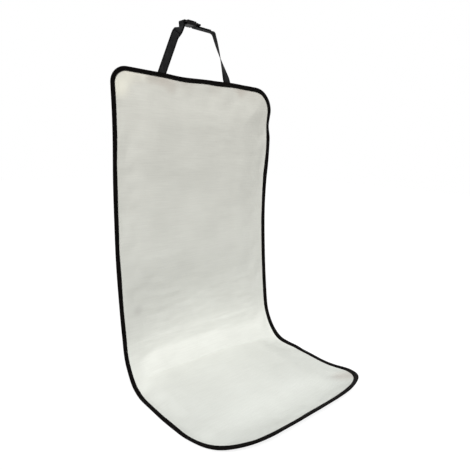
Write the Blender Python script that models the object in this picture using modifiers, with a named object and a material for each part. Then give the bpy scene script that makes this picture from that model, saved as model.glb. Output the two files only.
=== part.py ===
"""Dog cover for one car seat, bent as it lies in use, with the strap that goes round the headrest.

A panel of coated cloth is bound round its edge with a folded tape. Two pieces of webbing are
sewn behind its top edge and meet in a side-release buckle above it. Metres, +Z up. The seat end
points to -Y and the back rises at +Y. Left is -X, as someone who faces the cover sees it. The
origin is on the underside of the cloth, in the middle of its flat seat stretch.

The cloth is drawn flat first, as it is cut, and is then carried onto a bent profile: x runs
across it, s runs along it from its front edge, and h stands off its middle surface, towards the
sitter.
"""
import math

import bmesh
import bpy
from mathutils import Matrix, Vector
from mathutils.geometry import interpolate_bezier

# The panel: its width, and the stretches that its length bends into, from the front edge up
PANEL_WIDTH = 0.500
LIP_LENGTH = 0.120
LIP_TURN = math.radians(25)
SEAT_LENGTH = 0.190
CREASE_LENGTH = 0.050
CREASE_TURN = math.radians(44)
BEND_LENGTH = 0.100
BEND_TURN = math.radians(36)
BACK_LENGTH = 0.410
BACK_TURN = math.radians(12)
TOP_LENGTH = 0.240
TOP_TURN = math.radians(-3)
FRONT_LEFT_RADIUS = 0.145
FRONT_RIGHT_RADIUS = 0.105
TOP_RIGHT_RADIUS = 0.065
TOP_LEFT_RADIUS = 0.040
CLOTH_THICKNESS = 0.0012
SETTLE_RUN = 0.100

# The tape folded over the edge
TAPE_THICKNESS = 0.0008
TAPE_DEPTH = 0.012
FOLD_SPACE = 0.0012
CLEARANCE = 0.0003

# The headrest strap: where its ends are sewn, and the loop that it makes above the top edge
WEBBING_WIDTH = 0.0225
WEBBING_THICKNESS = 0.0014
LEFT_STRAP_X = -0.1155
LEFT_STRAP_LEAN = math.radians(22.5)
LEFT_STRAIGHT = 0.090
RIGHT_STRAP_X = 0.085
RIGHT_TWIST_POWER = 1.7
RIGHT_FLAT_RISE = 0.008
SEWN_LENGTH = 0.030
LOOP_RISE = 0.1205
LOOP_CORNER_X = 0.037
LOOP_CORNER_ROUND = 0.007
LOOP_CORNER_FULLNESS = 0.6
TOP_TWIST = math.radians(88)
CORNER_TWIST = math.radians(72)
PINCH_DROP = 0.0095
PINCH_AIM = math.radians(90)
TAIL_LENGTH = 0.036
LAYER_GAP = 0.0005

# The buckle, which lies along the top of the loop: u runs from its socket to its prongs
BUCKLE_X = -0.0317
BUCKLE_DROP = math.radians(1)
SOCKET_LENGTH = 0.0215
SOCKET_THICKNESS = 0.0105
SOCKET_ROUND = 0.0022
SIDE_WALL = 0.0036
WEBBING_PLAY = 0.0008
RAIL_WIDTH = 0.003
BAR_WIDTH = 0.003
PRONG_THICKNESS = 0.0036
PRONG_PLAY = 0.0004
SHOULDER_LENGTH = 0.005
SLOT_MARGIN = 0.0013
ARM_LENGTH = 0.0172
ARM_WIDTH = 0.0027
ARM_NOSE = 0.0026
BARB_LENGTH = 0.0076
BARB_PROUD = 0.0008
GUIDE_LENGTH = 0.0145
GUIDE_WIDTH = 0.0045

# Worked out from the values above
STRETCHES = ((LIP_LENGTH, LIP_TURN), (SEAT_LENGTH, 0.0), (CREASE_LENGTH, CREASE_TURN),
             (BEND_LENGTH, BEND_TURN), (BACK_LENGTH, BACK_TURN), (TOP_LENGTH, TOP_TURN))
PANEL_LENGTH = sum(length for length, _ in STRETCHES)
HALF_SLOT = CLOTH_THICKNESS / 2 + CLEARANCE
HALF_TAPE = HALF_SLOT + TAPE_THICKNESS
CLOTH_INSET = TAPE_THICKNESS + FOLD_SPACE
SETTLE_DEPTH = HALF_TAPE - CLOTH_THICKNESS / 2
STRAP_BEHIND = HALF_TAPE + CLEARANCE + WEBBING_THICKNESS / 2
LAYER_STEP = WEBBING_THICKNESS + LAYER_GAP
RAIL_INNER = WEBBING_WIDTH / 2 + WEBBING_PLAY
BUCKLE_HALF = RAIL_INNER + RAIL_WIDTH
WRAP_RADIUS = math.hypot(BAR_WIDTH, PRONG_THICKNESS) / 2 + CLEARANCE + WEBBING_THICKNESS / 2
WEBBING_PASS = SLOT_MARGIN + WEBBING_THICKNESS / 2
SOCKET_BAR_U = -SOCKET_LENGTH - WEBBING_PASS - WRAP_RADIUS
FIRST_BAR_U = SHOULDER_LENGTH + WEBBING_PASS + WRAP_RADIUS
LAST_BAR_U = FIRST_BAR_U + 2 * WRAP_RADIUS
CAVITY_HALF = BUCKLE_HALF - SIDE_WALL
CAVITY_HEIGHT = PRONG_THICKNESS + 2 * PRONG_PLAY
BARB_FAR_U = -ARM_LENGTH + ARM_NOSE
BARB_NEAR_U = BARB_FAR_U + BARB_LENGTH

# How finely round stretches are divided
CORNER_STEP = math.radians(7.5)
FLAT_STEP = 0.045
BEND_SAG = 0.00006
ROW_GAP = 0.003
ROUTE_STEPS = 14
CORNER_STEPS = 7
WRAP_STEP = math.radians(30)


def clear_scene():
    for thing in list(bpy.data.objects):
        bpy.data.objects.remove(thing, do_unlink=True)


def new_collection(name):
    collection = bpy.data.collections.new(name)
    bpy.context.scene.collection.children.link(collection)
    return collection


def plain_material(name, colour, roughness):
    material = bpy.data.materials.new(name)
    material.use_nodes = True
    shader = material.node_tree.nodes["Principled BSDF"]
    shader.inputs["Base Color"].default_value = (*colour, 1.0)
    shader.inputs["Roughness"].default_value = roughness
    shader.inputs["Metallic"].default_value = 0.0
    return material


def add_part(name, mesh, material, parent=None):
    part = bpy.data.objects.new(name, mesh)
    mesh.materials.append(material)
    parts.objects.link(part)
    part.parent = parent
    return part


def add_cutter(name, mesh, parent=None):
    cutter = bpy.data.objects.new(name, mesh)
    cutter.hide_render = True
    cutter.display_type = "WIRE"
    cutters.objects.link(cutter)
    cutter.parent = parent
    return cutter


def combine(part, operation, other):
    step = part.modifiers.new(f"{operation.lower()} {other.name}", "BOOLEAN")
    step.operation = operation
    step.solver = "EXACT"
    step.object = other


# The bent profile

def walk_profile(s):
    """Place (y, z) and slope, s along the stretches from the front edge, and straight on past them."""
    y = z = 0.0
    slope = -LIP_TURN
    for length, turn in STRETCHES + ((math.inf, 0.0),):
        run = min(s, length)
        half = turn * run / length / 2
        chord = run * math.sin(half) / half if half else run
        y += chord * math.cos(slope + half)
        z += chord * math.sin(slope + half)
        slope += 2 * half
        s -= run
        if s <= 0:
            break
    return y, z, slope


ORIGIN_Y, ORIGIN_Z, _ = walk_profile(LIP_LENGTH + SEAT_LENGTH / 2)


def drape(x, s, h):
    """Carries a point of the flat cover onto the bent one."""
    y, z, slope = walk_profile(s)
    y -= ORIGIN_Y + h * math.sin(slope)
    z -= ORIGIN_Z - h * math.cos(slope) - HALF_TAPE
    return Vector((x, y, z))


def drape_mesh(mesh):
    for vertex in mesh.vertices:
        vertex.co = drape(*vertex.co)


# The flat outline

def corner_radii(side):
    return (FRONT_LEFT_RADIUS, TOP_LEFT_RADIUS) if side < 0 else (FRONT_RIGHT_RADIUS, TOP_RIGHT_RADIUS)


def edge_x(side, s, inset):
    """x of the left (-1) or right (+1) edge at s, with the outline moved in by inset."""
    front_radius, top_radius = corner_radii(side)
    cut_away = 0.0
    for radius, into in ((front_radius - inset, s - inset), (top_radius - inset, PANEL_LENGTH - inset - s)):
        if into < radius:
            cut_away = max(cut_away, radius - math.sqrt(max(0.0, radius ** 2 - (radius - into) ** 2)))
    return side * (PANEL_WIDTH / 2 - inset - cut_away)


def bend_rows():
    """Places along the cover: close together where it bends tightly, and where a corner is round."""
    rows = [0.0]
    for length, turn in STRETCHES:
        step = min(FLAT_STEP, math.sqrt(8 * BEND_SAG * length / abs(turn))) if turn else FLAT_STEP
        count = math.ceil(length / step)
        start = rows[-1]
        rows.extend(start + length * (k + 1) / count for k in range(count))
    return rows


def spaced(rows):
    """The rows in order, without those that come too close after another."""
    kept = []
    for row in sorted(rows):
        if not kept or row - kept[-1] > ROW_GAP:
            kept.append(row)
    return kept


def outline_corner(side, at_top):
    """Points of one rounded corner, in the order that runs round the cover from its front left."""
    radius = corner_radii(side)[at_top]
    centre_x = side * (PANEL_WIDTH / 2 - radius)
    centre_s = PANEL_LENGTH - radius if at_top else radius
    count = math.ceil(math.pi / 2 / CORNER_STEP)
    start = {(-1, 0): math.pi, (1, 0): 1.5 * math.pi, (1, 1): 0.0, (-1, 1): math.pi / 2}[side, int(at_top)]
    angles = [start + math.pi / 2 * k / count for k in range(count + 1)]
    return [(centre_x + radius * math.cos(a), centre_s + radius * math.sin(a)) for a in angles]


def outline_side(side):
    """Points of one long side between its corners, from the front up."""
    front_radius, top_radius = corner_radii(side)
    low, high = front_radius + ROW_GAP, PANEL_LENGTH - top_radius - ROW_GAP
    return [(side * PANEL_WIDTH / 2, s) for s in bend_rows() if low < s < high]


def outline():
    return (outline_corner(-1, False) + outline_corner(1, False) + outline_side(1)
            + outline_corner(1, True) + outline_corner(-1, True) + outline_side(-1)[::-1])


# Shapes made with Blender's own tools

def poly_curve(name, outlines):
    curve = bpy.data.curves.new(name, "CURVE")
    for points in outlines:
        spline = curve.splines.new("POLY")
        spline.points.add(len(points) - 1)
        for point, place in zip(spline.points, points):
            point.co = (*place, 0.0, 1.0)
        spline.use_cyclic_u = True
    return curve


def mesh_of_curve(curve, name):
    """The closed mesh of a curve, with its loose caps welded."""
    helper = bpy.data.objects.new(name, curve)
    cutters.objects.link(helper)
    evaluated = helper.evaluated_get(bpy.context.evaluated_depsgraph_get())
    mesh = bpy.data.meshes.new_from_object(evaluated)
    mesh.name = name
    bpy.data.objects.remove(helper, do_unlink=True)
    bm = bmesh.new()
    bm.from_mesh(mesh)
    bmesh.ops.remove_doubles(bm, verts=bm.verts, dist=0.00001)
    bmesh.ops.recalc_face_normals(bm, faces=bm.faces)
    bm.to_mesh(mesh)
    bm.free()
    return mesh


def plate_mesh(name, outlines, thickness):
    """A flat plate of the given outline, whose further outlines are holes."""
    curve = poly_curve(name, outlines)
    curve.dimensions = "2D"
    curve.fill_mode = "BOTH"
    curve.extrude = thickness / 2
    return mesh_of_curve(curve, name)


def block_mesh(name, low, high):
    mesh = bpy.data.meshes.new(name)
    bm = bmesh.new()
    bmesh.ops.create_cube(bm, size=1.0)
    bmesh.ops.scale(bm, vec=[b - a for a, b in zip(low, high)], verts=bm.verts)
    bmesh.ops.translate(bm, vec=[(a + b) / 2 for a, b in zip(low, high)], verts=bm.verts)
    bm.to_mesh(mesh)
    bm.free()
    return mesh


def grid_mesh(name, rows, columns, place):
    """A sheet of rows and columns, each point placed by place(row number, share across)."""
    mesh = bpy.data.meshes.new(name)
    bm = bmesh.new()
    bmesh.ops.create_grid(bm, x_segments=columns, y_segments=rows - 1, size=1.0)
    for vertex in bm.verts:
        row = round((vertex.co.y + 1) / 2 * (rows - 1))
        vertex.co = place(row, (vertex.co.x + 1) / 2)
    bm.to_mesh(mesh)
    bm.free()
    return mesh


def thicken(part, thickness):
    step = part.modifiers.new("thickness", "SOLIDIFY")
    step.thickness = thickness
    step.offset = 0.0
    step.use_even_offset = True


# The cover

def make_panel():
    """The cloth, cut smaller than the cover by the fold of the tape.

    Its middle has settled as low as the underside of the tape, so that both lie on the seat.
    """
    last = PANEL_LENGTH - CLOTH_INSET
    corner_rows = []
    for side in (-1, 1):
        for radius, foot, way in zip(corner_radii(side), (CLOTH_INSET, last), (1, -1)):
            radius -= CLOTH_INSET
            count = math.ceil(math.pi / 4 / CORNER_STEP)
            corner_rows += [foot + way * radius * (1 - math.cos(math.pi / 2 * k / count)) for k in range(1, count)]
    inner = [s for s in spaced(bend_rows() + corner_rows) if CLOTH_INSET + ROW_GAP < s < last - ROW_GAP]
    rows = [CLOTH_INSET, *inner, last]

    def place(row, share):
        s = rows[row]
        left, right = (edge_x(side, s, CLOTH_INSET) for side in (-1, 1))
        settled = min(1.0, (s - CLOTH_INSET) / SETTLE_RUN, (last - s) / SETTLE_RUN) if 0 < share < 1 else 0.0
        return drape(left + (right - left) * share, s, -SETTLE_DEPTH * settled)

    thicken(add_part("cover_panel", grid_mesh("cover_panel", len(rows), 4, place), CLOTH), CLOTH_THICKNESS)


def make_binding():
    """The tape, folded over the edge: its section is swept round the flat outline, then draped."""
    nose = HALF_TAPE
    section = [(TAPE_DEPTH, -HALF_TAPE), (nose, -HALF_TAPE), (0.0, -HALF_TAPE / 2), (0.0, HALF_TAPE / 2),
               (nose, HALF_TAPE), (TAPE_DEPTH, HALF_TAPE), (TAPE_DEPTH, HALF_SLOT),
               (TAPE_THICKNESS, HALF_SLOT), (TAPE_THICKNESS, -HALF_SLOT), (TAPE_DEPTH, -HALF_SLOT)]
    profile = bpy.data.objects.new("tape_section", poly_curve("tape_section", [section]))
    cutters.objects.link(profile)
    path = poly_curve("edge_path", [outline()])
    path.dimensions = "2D"
    path.fill_mode = "NONE"
    path.bevel_mode = "OBJECT"
    path.bevel_object = profile
    mesh = mesh_of_curve(path, "edge_binding")
    bpy.data.objects.remove(profile, do_unlink=True)
    drape_mesh(mesh)
    add_part("edge_binding", mesh, BINDING)


# The strap's loop, in the plane that carries on upwards behind the top edge

def loop_point(x, rise):
    return drape(x, PANEL_LENGTH + rise, -STRAP_BEHIND)


def loop_directions():
    """Rightwards, upwards and outwards, towards the sitter."""
    top = drape(0.0, PANEL_LENGTH, 0.0)
    return Vector((1, 0, 0)), drape(0.0, PANEL_LENGTH + 1, 0.0) - top, drape(0.0, PANEL_LENGTH, 1.0) - top


def buckle_matrix():
    """The buckle's own frame: u along it, v across it towards the back, w up."""
    right, up, out = loop_directions()
    u = right * math.cos(BUCKLE_DROP) - up * math.sin(BUCKLE_DROP)
    down = -right * math.sin(BUCKLE_DROP) - up * math.cos(BUCKLE_DROP)
    v = -(down * math.cos(TOP_TWIST) + out * math.sin(TOP_TWIST))
    matrix = Matrix((u, v, u.cross(v))).transposed().to_4x4()
    matrix.translation = loop_point(BUCKLE_X, LOOP_RISE)
    return matrix


def smooth(share):
    return share * share * (3 - 2 * share)


def turned_in(direction, side):
    """Across a strap end, in the plane of the cover, towards the inside of the loop."""
    _, _, out = loop_directions()
    return direction.cross(out) * side


def stations(points, hints):
    """Each point of a strap's route with the direction across it that is nearest to its hint."""
    result = []
    for number, (point, hint) in enumerate(zip(points, hints)):
        ahead = points[min(number + 1, len(points) - 1)]
        tangent = (ahead - points[max(number - 1, 0)]).normalized()
        across = (hint - tangent * hint.dot(tangent)).normalized()
        result.append((point, across, tangent))
    return result


def ribbon(name, route):
    def place(row, share):
        point, across, _ = route[row]
        return point + across * WEBBING_WIDTH * (share - 0.5)

    thicken(add_part(name, grid_mesh(name, len(route), 2, place), WEBBING), WEBBING_THICKNESS)


def arc(matrix, centre_u, centre_w, start, end):
    """Points round a bar, in the buckle's frame, between two angles measured from u towards w."""
    count = math.ceil(abs(end - start) / WRAP_STEP)
    angles = [start + (end - start) * k / count for k in range(count + 1)]
    return [matrix @ Vector((centre_u + WRAP_RADIUS * math.cos(a), 0.0, centre_w + WRAP_RADIUS * math.sin(a)))
            for a in angles]


def make_left_strap(matrix):
    """Sewn behind the top edge, up and round the socket's bar, and pinched below it and sewn to itself."""
    right, up, _ = loop_directions()
    v = matrix.to_3x3().col[1]
    lean = right * math.sin(LEFT_STRAP_LEAN) + up * math.cos(LEFT_STRAP_LEAN)
    spread = math.asin(WRAP_RADIUS / PINCH_DROP)
    wrap = arc(matrix, SOCKET_BAR_U, 0.0, PINCH_AIM - spread - math.pi / 2, PINCH_AIM + spread + math.pi / 2)
    pinch = matrix @ Vector((SOCKET_BAR_U - PINCH_DROP * math.cos(PINCH_AIM), 0.0, -PINCH_DROP * math.sin(PINCH_AIM)))
    base = loop_point(LEFT_STRAP_X, 0.0)
    arrive = (wrap[0] - pinch).normalized()
    fold = base + lean * LEFT_STRAIGHT
    reach = (pinch - fold).length / 2
    turn = interpolate_bezier(fold, fold + lean * reach, pinch - arrive * reach / 2, pinch, ROUTE_STEPS)
    flat, upright = turned_in(lean, 1), -v
    hints = [flat.slerp(upright, smooth(k / (ROUTE_STEPS - 1))) for k in range(ROUTE_STEPS)]
    long_layer = stations([base - lean * SEWN_LENGTH, *turn, wrap[0]], [flat, *hints, upright])
    # the short layer leaves the bar and joins the long one, which it then follows back
    follow = [(point + across.cross(tangent) * LAYER_STEP, across, -tangent)
              for point, across, tangent in long_layer[-6:-2][::-1]]
    round_bar = stations([*wrap, follow[0][0]], [upright] * (len(wrap) + 1))
    ribbon("strap_left", long_layer[:-1] + round_bar[:-1] + follow)


def make_right_strap(matrix):
    """From its free tail through the prong's bars, along the loop, round its corner and down."""
    right, up, out = loop_directions()
    u, v, _ = (matrix.to_3x3().col[k] for k in range(3))
    tail = matrix @ Vector((LAST_BAR_U + TAIL_LENGTH, 0.0, -WRAP_RADIUS))
    threaded = [tail, *arc(matrix, LAST_BAR_U, 0.0, -math.pi / 2, -math.pi),
                *arc(matrix, FIRST_BAR_U, 0.0, 0.0, math.pi)[1:],
                *arc(matrix, FIRST_BAR_U, -LAYER_STEP, math.pi, 1.5 * math.pi)]
    leave = threaded[-1]
    corner = leave + u * ((LOOP_CORNER_X - leave.x) / u.x)
    base = loop_point(RIGHT_STRAP_X, 0.0)
    fall = (base - corner).normalized()
    before, after = corner - u * LOOP_CORNER_ROUND, corner + fall * LOOP_CORNER_ROUND
    handles = [end.lerp(corner, LOOP_CORNER_FULLNESS) for end in (before, after)]
    bend = interpolate_bezier(before, *handles, after, CORNER_STEPS)
    root = base - fall * RIGHT_FLAT_RISE
    drop = [after.lerp(root, (k + 1) / ROUTE_STEPS) for k in range(ROUTE_STEPS)]
    lean = (fall - out * fall.dot(out)).normalized()
    flat, upright = turned_in(-lean, -1), -v
    rolled = flat.slerp(upright, CORNER_TWIST / TOP_TWIST)
    hints = [upright] * len(threaded) + [upright.slerp(rolled, k / (len(bend) - 1)) for k in range(len(bend))]
    hints += [rolled.slerp(flat, ((k + 1) / ROUTE_STEPS) ** RIGHT_TWIST_POWER) for k in range(ROUTE_STEPS)]
    ribbon("strap_right", stations([*threaded, *bend, *drop, base + lean * SEWN_LENGTH], [*hints, flat]))


# The buckle

def rectangle(low_u, high_u, half):
    return [(low_u, -half), (high_u, -half), (high_u, half), (low_u, half)]


def cut_rectangle(low_u, high_u, half, cut):
    """A rectangle of a plan, with its corners cut off."""
    return [(low_u, -half + cut), (low_u + cut, -half), (high_u - cut, -half), (high_u, -half + cut),
            (high_u, half - cut), (high_u - cut, half), (low_u + cut, half), (low_u, half - cut)]


def make_socket(frame):
    """The half that the prongs click into, with a bar for the sewn webbing at its far end."""
    body = block_mesh("buckle_socket", (-SOCKET_LENGTH, -BUCKLE_HALF, -SOCKET_THICKNESS / 2),
                      (0.0, BUCKLE_HALF, SOCKET_THICKNESS / 2))
    socket = add_part("buckle_socket", body, BUCKLE, frame)
    rounding = socket.modifiers.new("rounding", "BEVEL")
    rounding.width = SOCKET_ROUND
    rounding.segments = 3
    end = SOCKET_BAR_U - BAR_WIDTH / 2
    slot = rectangle(SOCKET_BAR_U + BAR_WIDTH / 2, -SOCKET_LENGTH + SLOT_MARGIN, RAIL_INNER)
    frame_plan = cut_rectangle(end, -SOCKET_LENGTH / 2, BUCKLE_HALF - PRONG_PLAY, RAIL_WIDTH)
    tail = add_cutter("socket_frame", plate_mesh("socket_frame", [frame_plan, slot], PRONG_THICKNESS), frame)
    combine(socket, "UNION", tail)
    half_height = CAVITY_HEIGHT / 2
    cavity = block_mesh("socket_cavity", (-ARM_LENGTH - PRONG_PLAY, -CAVITY_HALF, -half_height),
                        (SOCKET_LENGTH, CAVITY_HALF, half_height))
    combine(socket, "DIFFERENCE", add_cutter("socket_cavity", cavity, frame))
    window = block_mesh("socket_windows", (BARB_FAR_U - PRONG_PLAY, -2 * BUCKLE_HALF, -half_height),
                        (BARB_NEAR_U + PRONG_PLAY, 2 * BUCKLE_HALF, half_height))
    combine(socket, "DIFFERENCE", add_cutter("socket_windows", window, frame))


def prong_plan():
    """Guide, sprung arms with their barbs, shoulder and webbing frame, in one outline."""
    arm_outer = CAVITY_HALF - PRONG_PLAY
    arm_inner = arm_outer - ARM_WIDTH
    rail_outer = BUCKLE_HALF - PRONG_PLAY
    root = PRONG_PLAY + SHOULDER_LENGTH / 2
    end = LAST_BAR_U + BAR_WIDTH / 2
    half = [(-GUIDE_LENGTH, GUIDE_WIDTH / 4), (-GUIDE_LENGTH + GUIDE_WIDTH / 2, GUIDE_WIDTH / 2),
            (root, GUIDE_WIDTH / 2), (root, arm_inner), (BARB_FAR_U, arm_inner),
            (-ARM_LENGTH + ARM_NOSE / 4, arm_inner + ARM_WIDTH / 4), (-ARM_LENGTH, arm_inner + ARM_WIDTH / 2),
            (BARB_FAR_U, arm_outer), (BARB_FAR_U + ARM_NOSE, BUCKLE_HALF + BARB_PROUD),
            (BARB_NEAR_U, BUCKLE_HALF + BARB_PROUD), (BARB_NEAR_U, arm_outer), (root, arm_outer - PRONG_PLAY),
            (root, rail_outer), (end - RAIL_WIDTH / 2, rail_outer), (end, rail_outer - RAIL_WIDTH / 2)]
    return half + [(u, -v) for u, v in reversed(half)]


def make_prong(frame):
    """The half with the sprung arms, and two bars that grip the adjustable webbing."""
    slots = [rectangle(SHOULDER_LENGTH - SLOT_MARGIN, FIRST_BAR_U - BAR_WIDTH / 2, RAIL_INNER),
             rectangle(FIRST_BAR_U + BAR_WIDTH / 2, LAST_BAR_U - BAR_WIDTH / 2, RAIL_INNER)]
    plate = plate_mesh("buckle_prong", [prong_plan(), *slots], PRONG_THICKNESS)
    prong = add_part("buckle_prong", plate, BUCKLE, frame)
    shoulder = add_cutter("prong_shoulder", block_mesh(
        "prong_shoulder", (PRONG_PLAY, -BUCKLE_HALF, -SOCKET_THICKNESS / 2),
        (SHOULDER_LENGTH, BUCKLE_HALF, SOCKET_THICKNESS / 2)), frame)
    rounding = shoulder.modifiers.new("rounding", "BEVEL")
    rounding.width = SOCKET_ROUND
    rounding.segments = 3
    combine(prong, "UNION", shoulder)


clear_scene()
parts = new_collection("dog_car_seat_cover")
cutters = new_collection("cutters")
CLOTH = plain_material("coated_cloth", (0.72, 0.72, 0.68), 0.75)
BINDING = plain_material("binding_tape", (0.012, 0.012, 0.013), 0.85)
WEBBING = plain_material("webbing", (0.018, 0.018, 0.020), 0.70)
BUCKLE = plain_material("buckle_plastic", (0.010, 0.010, 0.011), 0.35)

make_panel()
make_binding()
buckle_place = buckle_matrix()
make_left_strap(buckle_place)
make_right_strap(buckle_place)
buckle_frame = bpy.data.objects.new("buckle_frame", None)
parts.objects.link(buckle_frame)
buckle_frame.matrix_world = buckle_place
make_socket(buckle_frame)
make_prong(buckle_frame)
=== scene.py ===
# %% [markdown]
# # A dog cover for one car seat
# A panel of pale coated cloth lies on a car seat and keeps the dog off it. A black tape is folded
# over its whole edge, and a buckled strap of webbing goes round the headrest. The solids of these
# six pieces are already there. This script dresses them: it makes the cloth, the tape and the
# webbing again as fine soft pieces in the same places, and gives each piece its finish.

import math

import bmesh
import bpy
from mathutils import Matrix, Vector, noise
from mathutils.geometry import interpolate_bezier


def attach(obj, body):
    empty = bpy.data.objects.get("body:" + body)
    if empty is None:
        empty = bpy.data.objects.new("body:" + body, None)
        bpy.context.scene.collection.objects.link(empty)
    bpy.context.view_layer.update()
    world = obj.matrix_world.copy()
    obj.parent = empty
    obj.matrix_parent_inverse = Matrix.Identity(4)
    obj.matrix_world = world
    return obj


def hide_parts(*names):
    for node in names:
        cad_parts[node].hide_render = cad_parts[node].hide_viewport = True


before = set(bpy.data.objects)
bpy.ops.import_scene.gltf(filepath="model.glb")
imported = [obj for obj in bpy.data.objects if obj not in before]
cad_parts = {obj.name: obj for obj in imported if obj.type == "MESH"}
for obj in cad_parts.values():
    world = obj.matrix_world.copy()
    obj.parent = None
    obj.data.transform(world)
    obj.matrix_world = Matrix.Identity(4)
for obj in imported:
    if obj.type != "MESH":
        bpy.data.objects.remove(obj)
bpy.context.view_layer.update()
print("solids:", ", ".join(sorted(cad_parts)))

# %% [markdown]
# ## The camera
# The camera stands to the left of the cover, a little above its middle, and looks down at it. Its
# place, direction and lens were worked out from the outline of the cover in the photograph. The
# roll is built into the camera's own right and up directions.

# %% Place the camera
CAMERA_PLACE = Vector((-0.6854, -0.6976, 0.5848))
CAMERA_AZIMUTH = math.radians(41.9)
CAMERA_ELEVATION = math.radians(-11.8)
CAMERA_ROLL = math.radians(2.0)
FOCAL_SHARE = 421.3 / 470


def add_object(name, data):
    """Puts a new object in the scene."""
    thing = bpy.data.objects.new(name, data)
    bpy.context.scene.collection.objects.link(thing)
    return thing


level = math.cos(CAMERA_ELEVATION)
look = Vector((math.sin(CAMERA_AZIMUTH) * level, math.cos(CAMERA_AZIMUTH) * level,
               math.sin(CAMERA_ELEVATION)))
camera_right = look.cross(Vector((0, 0, 1))).normalized()
camera_up = camera_right.cross(look)
camera_right = camera_right * math.cos(CAMERA_ROLL) + camera_up * math.sin(CAMERA_ROLL)
camera_up = camera_right.cross(look)

camera = add_object("camera", bpy.data.cameras.new("camera"))
bpy.context.scene.camera = camera
camera.data.lens = camera.data.sensor_width * FOCAL_SHARE
camera.matrix_world = Matrix.Translation(CAMERA_PLACE) @ Matrix(
    (camera_right, camera_up, -look)).transposed().to_4x4()
print("lens", round(camera.data.lens, 2), "mm")

# %% [markdown]
# ## The shape of the cover
# Cloth is cut flat and then bent, so every point of the cover has a flat address: x across, s
# along it from its front edge, and h off its middle surface towards the dog. One function carries
# a flat address to its place in space. The cloth, the tape and the stitches all go through it, so
# they stay together however the cloth is bent.

# %% The sizes of the cover, as in the solids
PANEL_WIDTH = 0.500
STRETCHES = (
    ("lip", 0.120, math.radians(25)),
    ("seat", 0.190, 0.0),
    ("crease", 0.050, math.radians(44)),
    ("bend", 0.100, math.radians(36)),
    ("back", 0.410, math.radians(12)),
    ("top", 0.240, math.radians(-3)),
)
LIP_TURN = STRETCHES[0][2]
PANEL_LENGTH = sum(length for _, length, _ in STRETCHES)
CREASE_START = STRETCHES[0][1] + STRETCHES[1][1]
CORNER_RADII = {(-1, False): 0.145, (1, False): 0.105, (1, True): 0.065, (-1, True): 0.040}
CLOTH_THICKNESS = 0.0012
TAPE_THICKNESS = 0.0008
TAPE_DEPTH = 0.012
FOLD_SPACE = 0.0012
CLEARANCE = 0.0003
HALF_SLOT = CLOTH_THICKNESS / 2 + CLEARANCE
HALF_TAPE = HALF_SLOT + TAPE_THICKNESS
CLOTH_INSET = TAPE_THICKNESS + FOLD_SPACE
SETTLE_DEPTH = HALF_TAPE - CLOTH_THICKNESS / 2
print("cover", PANEL_WIDTH, "m by", round(PANEL_LENGTH, 3), "m when flat")


# %% Walk along the bent profile
def walk_profile(s):
    """Place (y, z) and slope of the profile, s along it from the front edge."""
    y = z = 0.0
    slope = -LIP_TURN
    for _, length, turn in STRETCHES + (("beyond", math.inf, 0.0),):
        run = min(s, length)
        half = turn * run / length / 2
        chord = run * math.sin(half) / half if half else run
        y += chord * math.cos(slope + half)
        z += chord * math.sin(slope + half)
        slope += 2 * half
        s -= run
        if s <= 0:
            break
    return y, z, slope


ORIGIN_Y, ORIGIN_Z, _ = walk_profile(CREASE_START - STRETCHES[1][1] / 2)


def bend(x, s, h):
    """Carries a flat address onto the bent profile."""
    y, z, slope = walk_profile(s)
    y -= ORIGIN_Y + h * math.sin(slope)
    z -= ORIGIN_Z - h * math.cos(slope) - HALF_TAPE
    return Vector((x, y, z))


print("top edge at", [round(value, 4) for value in bend(0.0, PANEL_LENGTH, 0.0)])

# %% [markdown]
# ## The edge of the cover
# The outline is a long rectangle with four different corners. A taped edge is never quite straight,
# so its sides, front and top wander by a few millimetres. These small offsets were measured from
# the outline in the photograph, as pairs of a place along the edge and how far it moves there. The
# two turns say how far the stiff tape on each side twists forward out of the cloth, and the middle
# says how far the soft cloth between them sinks behind or swells before the bent plate. The crease
# is given across the cover: how far behind the seat's end it lies, and how high above the seat.

# %% The outline and its wander
EDGE_MOVES = {
    "left": (
        (0.0, 0.002), (0.10, 0.0015), (0.16, -0.0015), (0.23, -0.004), (0.29, -0.0045),
        (0.34, -0.0015), (0.40, 0.0), (0.47, 0.0025), (0.57, 0.003), (0.70, 0.002), (0.86, 0.001),
        (1.0, 0.002), (1.11, 0.001)),
    "right": (
        (0.0, 0.0), (0.06, -0.003), (0.14, -0.008), (0.23, -0.003), (0.26, -0.001), (0.29, -0.004),
        (0.36, 0.002), (0.62, 0.0025), (0.84, 0.001), (0.96, 0.006), (1.01, 0.003), (1.07, 0.005)),
    "top": (
        (-0.22, -0.001), (-0.13, -0.003), (-0.064, -0.006), (0.03, -0.003), (0.10, -0.001),
        (0.15, -0.002), (0.20, -0.003)),
    "front": (
        (-0.19, -0.001), (-0.13, 0.001), (-0.03, -0.004), (0.03, -0.006), (0.11, -0.0065),
        (0.19, -0.001)),
    "left turn": (
        (0.05, -0.001), (0.12, 0.004), (0.19, 0.001), (0.30, 0.003), (0.38, 0.001),
        (0.60, -0.002), (0.80, 0.001), (1.0, 0.0)),
    "right turn": (
        (0.02, 0.002), (0.08, 0.003), (0.16, 0.001), (0.22, 0.001), (0.31, 0.006), (0.38, 0.003),
        (0.60, 0.004), (0.75, 0.003), (0.88, 0.005), (0.97, 0.002), (1.01, -0.003), (1.05, 0.001)),
    "middle left": ((0.37, 0.0), (0.50, -0.007), (0.67, 0.004), (0.90, 0.007)),
    "middle right": ((0.42, 0.0), (0.52, -0.001), (0.67, 0.003), (0.90, 0.007)),
    "crease depth": (
        (-0.24, 0.048), (-0.15, 0.0425), (0.03, 0.042), (0.15, 0.038), (0.24, 0.030)),
    "crease rise": (
        (-0.24, 0.0165), (-0.15, 0.0235), (0.03, 0.0230), (0.15, 0.0140), (0.24, 0.008)),
}
TOP_REACH = 0.30


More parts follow.
